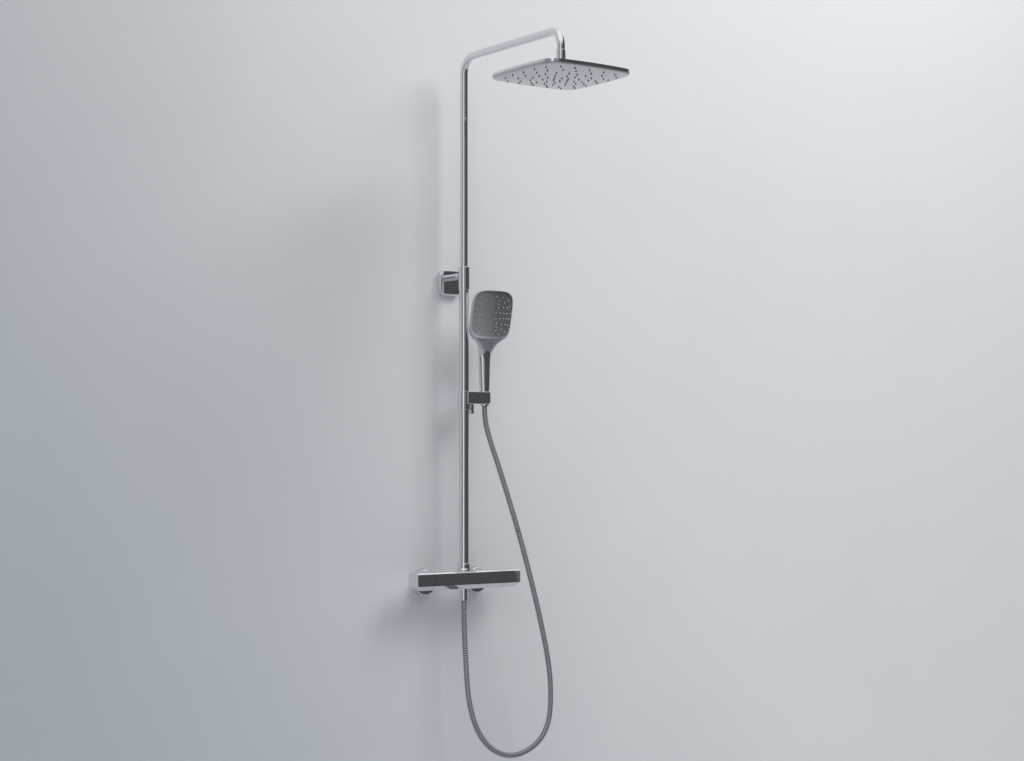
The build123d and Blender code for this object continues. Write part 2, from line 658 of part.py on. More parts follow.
with BuildPart() as head_spray_plate:
    loft([dome_section(share, 0) for share in dome_shares])
    extrude(dome_section(1.0, 0), amount=rim_bottom - seam_gap - plate_rim)
    fillet(head_spray_plate.edges().filter_by_position(Axis.Z, plate_rim - 0.01, plate_rim + 0.01), plate_edge_r)
    lip_plane = Plane((0, head_y, rim_bottom - 1), (1, 0, 0), (0, 0, 1))
    half = head_half - head_wall - 0.1
    extrude(soft_square(lip_plane, half, half, head_bulge, head_corner - head_wall - 0.1), amount=plate_lip + 1)
    loft([dome_section(share, plate_thickness, plate_wall) for share in dome_shares], mode=Mode.SUBTRACT)
    extrude(dome_section(1.0, plate_thickness, plate_wall), amount=rim_bottom + plate_lip - plate_rim,
            mode=Mode.SUBTRACT)
    with Locations(*nozzle_points):
        Cylinder(head_nozzle_hole_r, 14.0, mode=Mode.SUBTRACT)
save(head_spray_plate.part, "head_spray_plate")

with BuildPart() as head_nozzles:
    with Locations(*[(x, y, z + 1.1) for x, y, z in nozzle_points]):
        Cone(1.5, 1.85, 6.2)
    with Locations(*[(x, y, z + plate_thickness + 1.9) for x, y, z in nozzle_points]):
        Cylinder(3.0, 1.0)
save(head_nozzles.part, "head_nozzles")


# ---------------------------------------------------------------- slider and holder
window_low, window_high, window_half_width = 428.5, 443.5, 5.0

with BuildPart() as slider_collar:
    turned(column_axis, [
        (liner_r + snug, collar_bottom),
        (collar_r - 0.8, collar_bottom),
        (collar_r, collar_bottom + 0.8),
        (collar_r, collar_top - 0.8),
        (collar_r - 0.8, collar_top),
        (liner_r + snug, collar_top),
    ])
    with BuildSketch(Plane.YZ.offset(8.0)):
        with Locations((column_y, (window_low + window_high) / 2)):
            Rectangle(2 * window_half_width, window_high - window_low)
    extrude(amount=10.0, mode=Mode.SUBTRACT)
save(slider_collar.part, "slider_collar")

with BuildPart() as slider_bush:
    ring(column_axis, lower_r + fit, liner_r, collar_bottom + 1.4, collar_top - 1.4)
    with BuildSketch(Plane.YZ.offset(8.0)):
        with Locations((column_y, (window_low + window_high) / 2)):
            Rectangle(2 * window_half_width, window_high - window_low)
    extrude(amount=10.0, mode=Mode.SUBTRACT)
save(slider_bush.part, "slider_bush")

cone_slope = (cone_top_r - cone_bottom_r) / (cone_top - cone_bottom)
socket_clearance = 0.2
socket_low_r = cone_bottom_r + socket_clearance + cone_slope * (block_bottom - 1 - cone_bottom)
socket_high_r = cone_bottom_r + socket_clearance + cone_slope * (block_top + 1 - cone_bottom)

with BuildPart() as holder_block:
    with BuildSketch(Plane.XZ.offset(-column_y)) as block_outline:
        with BuildLine():
            Polyline(
                (block_left, block_bottom),
                (block_right - block_corner, block_bottom),
                (block_right, block_bottom + block_corner),
                (block_right, block_top),
                (block_left, block_top),
                close=True,
            )
        make_face()
    extrude(amount=block_half_depth, both=True)
    long_edges = holder_block.edges().filter_by(Axis.X)
    fillet(long_edges, 1.2)
    ring(column_axis, 0, collar_r + snug, block_bottom - 1, block_top + 1, Mode.SUBTRACT)
    turned(handset_axis, [
        (0, block_bottom - 1),
        (socket_low_r, block_bottom - 1),
        (socket_high_r, block_top + 1),
        (0, block_top + 1),
    ], Mode.SUBTRACT)
    with BuildSketch(Plane.XY.offset(block_bottom - 1)):
        with Locations(((slot_left + slot_right) / 2, column_y)):
            Rectangle(slot_right - slot_left, 2 * slot_half_width)
    extrude(amount=slot_top - block_bottom + 1, mode=Mode.SUBTRACT)
    ring(pivot_axis, 0, pivot_r + 0.02, -block_half_depth + 1.5, block_half_depth + 1, Mode.SUBTRACT)
save(holder_block.part, "holder_block")

with BuildPart() as brake_pad:
    with BuildSketch(Plane.XY.offset(window_low + 0.5)):
        with Locations((13.2, column_y)):
            Rectangle(6.4, 2 * window_half_width - 1)
    extrude(amount=window_high - window_low - 1)
    ring(column_axis, 0, lower_r + fit, window_low, window_high, Mode.SUBTRACT)
save(brake_pad.part, "brake_pad")

with BuildPart() as lever_pin:
    ring(pivot_axis, 0, pivot_r, -block_half_depth + 1.6, block_half_depth - 0.3)
save(lever_pin.part, "lever_pin")

with BuildPart() as lever_spring:
    spring_base = (lever_x, column_y - 2.0, pivot_z)
    coil(spring_base, (0, 1, 0), 2.8, 0.4, 1.0, 4.0)
save(lever_spring.part, "lever_spring")

with BuildPart() as release_lever:
    with BuildSketch(Plane.XZ.offset(-column_y)) as lever_outline:
        with BuildLine():
            Polyline(
                (lever_left, lever_bottom),
                (lever_right, lever_bottom),
                (lever_right, lever_top),
                (lever_left, lever_top),
                close=True,
            )
        make_face()
        fillet(lever_outline.vertices(), 1.8)
    extrude(amount=lever_half_width, both=True)
    ring(pivot_axis, 0, pivot_r + 0.05, -lever_half_width - 1, lever_half_width + 1, Mode.SUBTRACT)
    ring(pivot_axis, 0, spring_recess_r, -spring_recess_half, spring_recess_half, Mode.SUBTRACT)
save(release_lever.part, "release_lever")


# ---------------------------------------------------------------- handset
def face_plane(depth=0.0, y=face_centre_y, z=face_centre_z):
    """The handset's tilted face plane, or one parallel to it, deeper by the given amount."""
    normal = Vector(0, -cos(radians(face_tilt)), -sin(radians(face_tilt)))
    plane = Plane(origin=(handset_x, y, z), x_dir=(1, 0, 0), z_dir=normal)
    return plane.offset(-depth)


def face_outline(inset, depth):
    """The handset head's soft square, shrunk by an inset, at a depth behind its face."""
    bulge = 2.0
    half_x = face_width / 2 - bulge - inset
    half_y = face_height / 2 - bulge - inset
    return soft_square(face_plane(depth), half_x, half_y, bulge, face_corner - inset)


handle_sections = [
    # height, width, depth, centre of the section in Y
    (455.6, 23.6, 22.0, column_y),
    (482.0, 28.0, 23.0, column_y),
    (520.0, 29.8, 23.8, column_y),
    (545.0, 34.6, 23.4, column_y - 0.9),
    (560.0, 42.0, 22.4, column_y - 3.2),
    (572.0, 58.0, 19.6, column_y - 7.2),
    (585.0, 80.0, 14.0, column_y - 12.6),
    (600.0, 88.0, 9.0, column_y - 18.0),
]
button_plane_z = 566.5
button_plane_y = face_centre_y + (face_centre_z - button_plane_z) * tan(radians(face_tilt))
button_proud, button_depth = 0.8, 4.0


def head_slab(inset, front, back, back_r):
    """The head's soft square between two depths, its back edge rounded."""
    with BuildPart() as slab:
        extrude(face_outline(inset, back), amount=back - front)
        fillet(slab.faces().sort_by(face_axis)[0].edges(), back_r)
    return slab.part


face_axis = Axis((0, 0, 0), tuple(face_plane().z_dir))
head_form = head_slab(0, 0, handset_depth, handset_back_r)
head_hollow = head_slab(handset_wall, -1.0, handset_depth - handset_wall, handset_back_r - handset_wall)

with BuildPart() as handset_shell:
    for height, width, depth, centre_y in handle_sections:
        with BuildSketch(Plane((handset_x, centre_y, height), (1, 0, 0), (0, 0, 1))):
            Ellipse(width / 2, depth / 2)
    loft()
    ring(handset_axis, 0, 9.3, 443.2, 456.0)
    with BuildSketch(face_plane(button_depth + button_travel + 0.6, button_plane_y, button_plane_z)):
        RectangleRounded(button_width + 2 * gap, button_height + 2 * gap, 5.2)
    extrude(amount=12.0, mode=Mode.SUBTRACT)
    waterway_axis = Axis((handset_x, waterway_y, waterway_bottom), (0, 0, 1))
    ring(waterway_axis, 0, waterway_r, 0, waterway_top - waterway_bottom, Mode.SUBTRACT)
    add(head_form)
    add(head_hollow, mode=Mode.SUBTRACT)
    channel_axis = Axis((handset_x, waterway_y, channel_start), (0, -8.9, 20.0))
    ring(channel_axis, 0, channel_r, -1.0, channel_length, Mode.SUBTRACT)
    port_axis = Axis((handset_x, port_y, port_z), (0, -1, 0))
    ring(port_axis, 0, port_r, 0, port_length, Mode.SUBTRACT)
save(handset_shell.part, "handset_shell")

handset_rings = [
    # half width, half height, number of nozzles
    (50.0, 45.0, 20),
    (42.0, 36.0, 18),
    (33.0, 28.0, 14),
    (23.0, 20.0, 10),
    (12.0, 11.0, 5),
]


def handset_nozzle_places():
    """The handset's nozzles, in soft-square rings."""
    places = []
    for half_x, half_y, count in handset_rings:
        for step in range(count):
            angle = radians(360 * (step + 0.5) / count)
            stretch = (abs(cos(angle)) ** 4 + abs(sin(angle)) ** 4) ** -0.25
            places.append((half_x * stretch * cos(angle), half_y * stretch * sin(angle)))
    return places


with BuildPart() as handset_face_plate:
    extrude(face_outline(handset_wall + 0.15, 2.5), amount=2.5)
    with Locations(face_plane(1.2)):
        with Locations(*[(x, y, 0) for x, y in handset_nozzle_places()]):
            Cylinder(1.6, 10.0, mode=Mode.SUBTRACT)
save(handset_face_plate.part, "handset_face_plate")

with BuildPart() as handset_nozzles:
    with Locations(face_plane(1.0)):
        with Locations(*[(x, y, 0) for x, y in handset_nozzle_places()]):
            Cone(1.5, 1.2, 4.4)
    with Locations(face_plane(3.1)):
        with Locations(*[(x, y, 0) for x, y in handset_nozzle_places()]):
            Cylinder(2.5, 0.8)
save(handset_nozzles.part, "handset_nozzles")

with BuildPart() as handset_button:
    with BuildSketch(face_plane(button_depth, button_plane_y, button_plane_z)):
        RectangleRounded(button_width, button_height, 5.0)
    extrude(amount=button_depth + button_proud)
    fillet(handset_button.faces().sort_by(Axis.Y)[0].edges(), 0.6)
    with BuildSketch(face_plane(button_depth, button_plane_y, button_plane_z)):
        Circle(3.4)
    extrude(amount=button_travel + 0.4, mode=Mode.SUBTRACT)
save(handset_button.part, "handset_button")

with BuildPart() as handset_button_spring:
    spring_plane = face_plane(button_depth + button_travel, button_plane_y, button_plane_z)
    coil(tuple(spring_plane.origin), tuple(spring_plane.z_dir), 2.6, 0.3, 0.9, 1.8)
save(handset_button_spring.part, "handset_button_spring")

with BuildPart() as selector_valve:
    valve_centre = face_plane(6.8).from_local_coords((-12.0, -40.0, 0))
    valve_axis = Axis(valve_centre, (1, 0, 0))
    ring(valve_axis, 0, 2.8, 0, 24.0)
    ring(valve_axis, 2.0, 2.8, 7.0, 17.0, Mode.SUBTRACT)
save(selector_valve.part, "selector_valve")

with BuildPart() as hose_cone_nut:
    turned(handset_axis, [
        (4.5, cone_bottom),
        (cone_bottom_r, cone_bottom),
        (cone_top_r, cone_top),
        (9.3 + snug, cone_top),
        (9.3 + snug, 443.0),
        (4.5, 443.0),
    ])
save(hose_cone_nut.part, "hose_cone_nut")


# ---------------------------------------------------------------- hose
with BuildPart() as hose_connector:
    ring(column_axis, 4.5, connector_thread_r, bar_bottom - 1, connector_thread_top - 2)
    turned(column_axis, [
        (4.5, connector_bottom),
        (connector_r - 0.6, connector_bottom),
        (connector_r, connector_bottom + 0.6),
        (connector_r, bar_bottom - 0.1),
        (4.5, bar_bottom - 0.1),
    ])
save(hose_connector.part, "hose_connector")

with BuildPart() as hose_washer:
    ring(column_axis, 4.5, connector_thread_r - 0.2, connector_thread_top - 1.9, connector_thread_top - 0.1)
save(hose_washer.part, "hose_washer")

# The hose hangs in a loop from the handset to the mixer, bowed a little towards the room.
upper_route = [
    (60.0, -70.0, 422.0),
    (60.0, -70.0, 392.0),
    (67.1, -79.0, 345.0),
    (83.8, -95.0, 277.0),
    (109.9, -111.0, 178.0),
    (127.0, -114.5, 122.0),
]
lower_route = [
    (127.0, -114.5, 122.0),
    (144.1, -118.0, 66.0),
    (188.6, -118.0, -82.0),
    (222.0, -115.0, -210.0),
    (230.7, -110.0, -300.0),
    (225.1, -104.0, -362.0),
    (192.0, -98.0, -406.0),
    (130.6, -91.0, -428.0),
    (71.5, -84.0, -408.0),
    (31.0, -78.5, -358.0),
    (9.0, -75.0, -285.0),
    (3.5, -72.0, -190.0),
    (0.0, -70.0, -105.0),
    (0.0, -70.0, -43.0),
]


def corner_radii(route):
    """The largest arc at each corner that leaves its two runs a tenth of straight."""
    radii = []
    for before, corner, after in zip(route, route[1:], route[2:]):
        run_in = Vector(*corner) - Vector(*before)
        run_out = Vector(*after) - Vector(*corner)
        half_turn = radians(run_in.get_angle(run_out)) / 2
        radii.append(0.45 * min(run_in.length, run_out.length) / tan(half_turn))
    return radii


def build_hose(route, name):
    """A hollow tube along straight runs joined by tangent arcs."""
    radii = corner_radii(route)
    print(name, "radii", [round(radius) for radius in radii])
    with BuildPart() as hose:
        with BuildLine() as path:
            FilletPolyline(*route, radius=radii)
        with BuildSketch(Plane(origin=path.line @ 0, z_dir=path.line % 0)):
            Circle(hose_r)
            Circle(hose_bore_r, mode=Mode.SUBTRACT)
        sweep(path=path.line)
    section_area = pi * (hose_r ** 2 - hose_bore_r ** 2)
    print(name, "length", round(path.wires()[0].length, 1), "volume", round(hose.part.volume),
          "section x length", round(section_area * path.wires()[0].length))
    return hose.part


save(build_hose(upper_route, "hose_upper"), "hose_upper")
save(build_hose(lower_route, "hose_lower"), "hose_lower")
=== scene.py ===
import json
import math

import bmesh
import bpy
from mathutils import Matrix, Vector


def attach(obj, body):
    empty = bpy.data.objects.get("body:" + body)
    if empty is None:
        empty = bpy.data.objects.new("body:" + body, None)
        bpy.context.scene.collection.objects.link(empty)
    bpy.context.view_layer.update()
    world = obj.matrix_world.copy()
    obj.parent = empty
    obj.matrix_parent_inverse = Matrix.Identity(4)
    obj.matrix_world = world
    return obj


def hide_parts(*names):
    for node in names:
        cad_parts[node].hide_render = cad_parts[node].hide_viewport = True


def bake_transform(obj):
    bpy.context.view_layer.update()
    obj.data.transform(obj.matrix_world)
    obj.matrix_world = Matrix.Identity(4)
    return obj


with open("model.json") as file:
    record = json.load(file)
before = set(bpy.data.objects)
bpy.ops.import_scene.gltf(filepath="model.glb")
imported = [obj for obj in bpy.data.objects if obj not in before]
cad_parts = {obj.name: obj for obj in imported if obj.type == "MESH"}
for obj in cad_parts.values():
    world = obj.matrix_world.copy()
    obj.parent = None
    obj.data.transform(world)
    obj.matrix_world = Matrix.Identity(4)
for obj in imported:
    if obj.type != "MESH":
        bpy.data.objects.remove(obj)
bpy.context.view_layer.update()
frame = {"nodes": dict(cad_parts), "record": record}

bl_info = {
    "name": "Rainfall Shower Column",
    "version": (1, 0, 0),
    "blender": (4, 5, 0),
    "location": "3D View > Sidebar > Shower Column",
    "description": "Dresses a wall-mounted shower column: chrome, rain head, hand shower and spiral hose",
    "category": "Object",
}

# The wall is drawn just in front of the plane that the part stands on, so a flat back on that plane
# is lit in a view from behind.
WALL = -0.0003
COLUMN_Y = -0.070  # the riser's axis, in front of the wall
HANDSET_X = 0.060  # the handset's axis, to the right of the riser
NODES = frame["nodes"]

# The hose's two lengths, from the handset down to the mixer. The same points as its solids follow.
UPPER_ROUTE = [
    (0.0600, -0.0700, 0.422),
    (0.0600, -0.0700, 0.392),
    (0.0671, -0.0790, 0.345),
    (0.0838, -0.0950, 0.277),
    (0.1099, -0.1110, 0.178),
    (0.1270, -0.1145, 0.122),
]
LOWER_ROUTE = [
    (0.1270, -0.1145, 0.122),
    (0.1441, -0.1180, 0.066),
    (0.1886, -0.1180, -0.082),
    (0.2220, -0.1150, -0.210),
    (0.2307, -0.1100, -0.300),
    (0.2251, -0.1040, -0.362),
    (0.1920, -0.0980, -0.406),
    (0.1306, -0.0910, -0.428),
    (0.0715, -0.0840, -0.408),
    (0.0310, -0.0785, -0.358),
    (0.0090, -0.0750, -0.285),
    (0.0035, -0.0720, -0.190),
    (0.0000, -0.0700, -0.105),
    (0.0000, -0.0700, -0.043),
]


# ---------------------------------------------------------------- sizes and colours a user may change
class StageSettings(bpy.types.PropertyGroup):
    wall_colour: bpy.props.FloatVectorProperty(
        name="Wall", description="Colour of the wall behind the column",
        subtype="COLOR", default=(0.84, 0.85, 0.87), min=0, max=1)
    # Painted shade: the wall is painted darker and bluer towards the lower left, as though less of the
    # lamp's light falls there; it is not a colour of the wall itself.
    wall_painted_shade: bpy.props.FloatVectorProperty(
        name="Wall, lower left", description="Colour of the wall where it is cooler, at the lower left",
        subtype="COLOR", default=(0.56, 0.61, 0.65), min=0, max=1)
    floor_colour: bpy.props.FloatVectorProperty(
        name="Floor", description="Colour of the floor",
        subtype="COLOR", default=(0.52, 0.53, 0.55), min=0, max=1)
    floor_height: bpy.props.FloatProperty(
        name="Floor height", description="Height of the floor from the wall inlets",
        default=-1.0, unit="LENGTH")
    lamp_power: bpy.props.FloatProperty(
        name="Lamp power", description="Power of the large soft lamp", default=60.0, min=0)


class MetalSettings(bpy.types.PropertyGroup):
    chrome_colour: bpy.props.FloatVectorProperty(
        name="Chrome", description="Reflected colour of the polished chrome",
        subtype="COLOR", default=(0.77, 0.78, 0.80), min=0, max=1)
    chrome_roughness: bpy.props.FloatProperty(
        name="Chrome roughness", description="Roughness of clean chrome", default=0.05, min=0, max=1)


class HoseSettings(bpy.types.PropertyGroup):
    diameter: bpy.props.FloatProperty(
        name="Diameter", description="Outer diameter of the spiral hose", default=0.014, unit="LENGTH")
    pitch: bpy.props.FloatProperty(
        name="Pitch", description="Length of one turn of the winding", default=0.0056, unit="LENGTH")
    groove: bpy.props.FloatProperty(
        name="Groove", description="Depth of the groove between turns", default=0.0014, unit="LENGTH")


class HandsetSettings(bpy.types.PropertyGroup):
    face_tilt: bpy.props.FloatProperty(
        name="Tilt", description="Lean of the spray face", default=math.radians(12.0), subtype="ANGLE")


# ---------------------------------------------------------------- shader maths
# outputs of the nodes that give places, faces and attributes
OBJECT_PLACE, DIRECTION = 3, 0
BACKFACING = 6
ATTRIBUTE_VALUE = 2

GRAIN_SCALE, GRAIN_DEPTH = 900.0, 0.0002
SATIN_GREY = (0.52, 0.53, 0.56)
PLATED = 0.03  # how much rougher chromed plastic is than chromed brass


class Wire:
    """One output socket of a material under construction, with arithmetic."""

    def __init__(self, tree, socket):
        self.tree = tree
        self.socket = socket

    def _maths(self, operation, *inputs):
        return node(self.tree, "ShaderNodeMath", {"operation": operation}, dict(enumerate(inputs)))

    def __add__(self, other):
        return self._maths("ADD", self, other)

    __radd__ = __add__

    def __mul__(self, other):
        return self._maths("MULTIPLY", self, other)

    __rmul__ = __mul__

    def __sub__(self, other):
        return self._maths("SUBTRACT", self, other)

    def __rsub__(self, other):
        return self._maths("SUBTRACT", other, self)

    def clamped(self, low, high):
        """Maps low to 0 and high to 1, smoothly."""
        return node(self.tree, "ShaderNodeMapRange", {"interpolation_type": "SMOOTHSTEP"},
                    {"Value": self, "From Min": low, "From Max": high})


def node(tree, kind, settings=None, inputs=None, output=0):
    """Adds a node: its settings first, then the values or links of its sockets."""
    made = tree.nodes.new(kind)
    for name, value in (settings or {}).items():
        setattr(made, name, value)
    for name, value in (inputs or {}).items():
        if isinstance(value, Wire):
            tree.links.new(value.socket, made.inputs[name])
        else:
            made.inputs[name].default_value = value
    return Wire(tree, made.outputs[output])


def mixed(tree, share, first, second):
    """Colour mix."""
    made = tree.nodes.new("ShaderNodeMix")
    made.data_type = "RGBA"
    for socket, value in ((made.inputs[0], share), (made.inputs[6], first), (made.inputs[7], second)):
        if isinstance(value, Wire):
            tree.links.new(value.socket, socket)
        elif socket == made.inputs[0]:
            socket.default_value = value
        else:
            socket.default_value = (*value, 1.0)
    return Wire(tree, made.outputs[2])


def noise(tree, scale, detail):
    """Noise over the object's own coordinates, about 0.5."""
    place = node(tree, "ShaderNodeTexCoord", output=OBJECT_PLACE)
    return node(tree, "ShaderNodeTexNoise", None,
                {"Vector": place, "Scale": scale, "Detail": detail, "Roughness": 0.5})


def axes(tree, source=OBJECT_PLACE):
    """The three coordinates of the object, or of the world's direction, one by one."""
    place = node(tree, "ShaderNodeTexCoord", output=source)
    parts = node(tree, "ShaderNodeSeparateXYZ", None, {0: place})
    return [Wire(tree, socket) for socket in parts.socket.node.outputs]


def feed(material, **wires):
    """Links wires to the sockets of the material's shader."""
    tree = material.node_tree
    shader = next(one for one in tree.nodes if one.type == "BSDF_PRINCIPLED")
    for name, wire in wires.items():
        tree.links.new(wire.socket, shader.inputs[name.replace("_", " ")])
    return material


def surface(name, colour, metallic, roughness, spread, scale, shade=0.06, fine=0.0):
    """A material with slight colour and roughness variation, and a fine bump if asked."""
    material = bpy.data.materials.new(name)
    material.use_nodes = True
    tree = material.node_tree
    tree.nodes.clear()
    cloud = noise(tree, scale, 4.0)
    darker = tuple(channel * (1 - shade) for channel in colour)
    inputs = {
        "Base Color": mixed(tree, cloud, colour, darker),
        "Metallic": metallic,
        "Roughness": cloud * (2 * spread) + (roughness - spread),
    }
    if fine:
        grain = noise(tree, GRAIN_SCALE, 2.0)
        inputs["Normal"] = node(tree, "ShaderNodeBump", None,
                                {"Strength": fine, "Distance": GRAIN_DEPTH, "Height": grain})
    shader = node(tree, "ShaderNodeBsdfPrincipled", None, inputs)
    out = tree.nodes.new("ShaderNodeOutputMaterial")
    tree.links.new(shader.socket, out.inputs["Surface"])
    return material


def finishes():
    """Every finish on the column, by the record's slot, and the two that only the handset has."""
    metal = bpy.context.scene.column_metal
    chrome = tuple(metal.chrome_colour)
    rough = metal.chrome_roughness
    return {
        "chrome": surface("polished_chrome", chrome, 1.0, rough, 0.02, 9.0, 0.03),
        "chromed_plastic": surface("chromed_plastic", chrome, 1.0, rough + PLATED, 0.02, 12.0, 0.04),
        "brass": surface("turned_brass", (0.72, 0.52, 0.25), 1.0, 0.25, 0.05, 60.0, fine=0.1),
        "steel": surface("machined_steel", (0.56, 0.57, 0.58), 1.0, 0.28, 0.05, 60.0, fine=0.1),
        "hose_steel": hose_steel(),
        "grey_plastic": surface("satin_grey", SATIN_GREY, 0.85, 0.24, 0.03, 30.0, 0.04, fine=0.03),
        "dark_plastic": surface("dark_plastic", (0.05, 0.05, 0.055), 0.0, 0.45, 0.04, 30.0, fine=0.1),
        "white_plastic": surface("white_plastic", (0.78, 0.78, 0.76), 0.0, 0.4, 0.04, 30.0, fine=0.1),
        "rubber": surface("black_rubber", (0.03, 0.03, 0.03), 0.0, 0.6, 0.05, 40.0, fine=0.2),
        "grey_rubber": surface("soft_nozzle", (0.06, 0.06, 0.065), 0.0, 0.5, 0.05, 80.0, fine=0.1),
        "spray_face": handset_face(),
        "pale_nozzle": pale_nozzle(),
    }


def hose_steel():
    """Bright crests and dark grooves along the winding; the dark colour in the grooves is painted shade."""
    material = surface("hose_steel", (0.60, 0.61, 0.64), 1.0, 0.20, 0.03, 40.0)
    tree = material.node_tree
    depth = node(tree, "ShaderNodeAttribute", {"attribute_name": "groove"}, output=ATTRIBUTE_VALUE)
    # painted shade: the grooves between turns are coloured near black, standing in for the shade that falls
    # in them
    crest, groove = (0.58, 0.595, 0.63), (0.075, 0.078, 0.085)
    return feed(material, Base_Color=mixed(tree, depth.clamped(0.05, 0.55), crest, groove))


def pale_nozzle():
    """The handset's nozzles, with painted light: pale at the right and close to the face's grey at the left.
    """
    material = surface("pale_nozzle", (0.42, 0.43, 0.45), 0.0, 0.4, 0.04, 80.0)
    tree = material.node_tree
    # painted light: the same nozzles painted pale where the light falls at the right and dark at the left
    painted_light_across = axes(tree)[0].clamped(0.030, 0.085)
    return feed(material, Base_Color=mixed(tree, painted_light_across, (0.12, 0.12, 0.13), (0.86, 0.87, 0.90)))


def handset_face():
    """The handset's satin grey face, with painted shade that makes it a little darker towards its right
    side.
    """
    material = surface("satin_grey_face", (0.66, 0.665, 0.69), 1.0, 0.34, 0.03, 25.0, fine=0.02)
    tree = material.node_tree
    # painted shade: the same satin grey, lighter at the left and darker towards the right, as the light
    # falls across the face
    rightward_painted_shade = axes(tree)[0].clamped(0.020, 0.085)
    return feed(material, Base_Color=mixed(tree, rightward_painted_shade, (0.72, 0.73, 0.75), (0.40, 0.41, 0.44)))


def handset_shell_finish(colour, roughness, tilt, forward, middle):
    """Chromed plastic that turns satin grey on the front of the neck, level with the spray face."""
    material = surface("handset_shell_finish", colour, 1.0, roughness, 0.02, 12.0, 0.04)
    tree = material.node_tree
    _, depth, height = axes(tree)
    behind = depth - COLUMN_Y + forward + (height - middle) * math.tan(tilt)
    satin = behind.clamped(0.0045, 0.0020) * height.clamped(0.538, 0.560)
    return feed(material, Base_Color=mixed(tree, satin, colour, SATIN_GREY),
                Roughness=satin * 0.26 + roughness)


# ---------------------------------------------------------------- mesh helpers
LOFT_SEGMENTS = 72


def finished(bm, name, material, body):
    """Turns a bmesh into a piece. It rides on a body, or is left free if body is None."""
    bmesh.ops.recalc_face_normals(bm, faces=bm.faces)
    for face in bm.faces:
        face.smooth = True
    mesh = bpy.data.meshes.new(name)
    bm.to_mesh(mesh)
    bm.free()
    piece = bpy.data.objects.new(name, mesh)
    bpy.context.scene.collection.objects.link(piece)
    mesh.materials.append(material)
    if body:
        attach(piece, body)
    return piece


def lofted(sections):
    """Carries a ring of points through the sections, each a function of the angle, and caps both ends."""
    bm = bmesh.new()
    ring = bmesh.ops.create_circle(bm, segments=LOFT_SEGMENTS, radius=1.0)["verts"]
    angles = [math.atan2(vert.co.y, vert.co.x) for vert in ring]
    for vert, angle in zip(ring, angles):
        vert.co = sections[0](angle)
    bmesh.ops.contextual_create(bm, geom=ring)
    edges = list(bm.edges)
    for section in sections[1:]:
        grown = bmesh.ops.extrude_edge_only(bm, edges=edges)["geom"]
        edges = [g for g in grown if isinstance(g, bmesh.types.BMEdge)]
        verts = [g for g in grown if isinstance(g, bmesh.types.BMVert)]
        # the new ring keeps the old one's places, so each point's angle is read from where it was
        for vert in verts:
            vert.tag = True
        pairs = []
        for vert in verts:
            old = next(e.other_vert(vert) for e in vert.link_edges if not e.other_vert(vert).tag)
            pairs.append((vert, old))
        lookup = dict(zip(ring, angles))
        ring = [new for new, _ in pairs]
        angles = [lookup[old] for _, old in pairs]
        for vert, angle in zip(ring, angles):
            vert.co = section(angle)
            vert.tag = False
    bmesh.ops.contextual_create(bm, geom=ring)
    return bm


def smooth_rows(rows, steps):
    """Rows of numbers, with rounded steps between them (a Catmull-Rom curve through each column)."""
    out = []
    for index in range(len(rows) - 1):
        before = rows[max(index - 1, 0)]
        here, there = rows[index], rows[index + 1]
        after = rows[min(index + 2, len(rows) - 1)]
        for step in range(steps):
            t = step / steps
            out.append([
                0.5 * (2 * b + (c - a) * t + (2 * a - 5 * b + 4 * c - d) * t * t
                       + (3 * b - a - 3 * c + d) * t ** 3)
                for a, b, c, d in zip(before, here, there, after)])
    out.append(list(rows[-1]))
    return out


def power(value, exponent):
    """A signed power, for superellipses."""
    return math.copysign(abs(value) ** exponent, value)


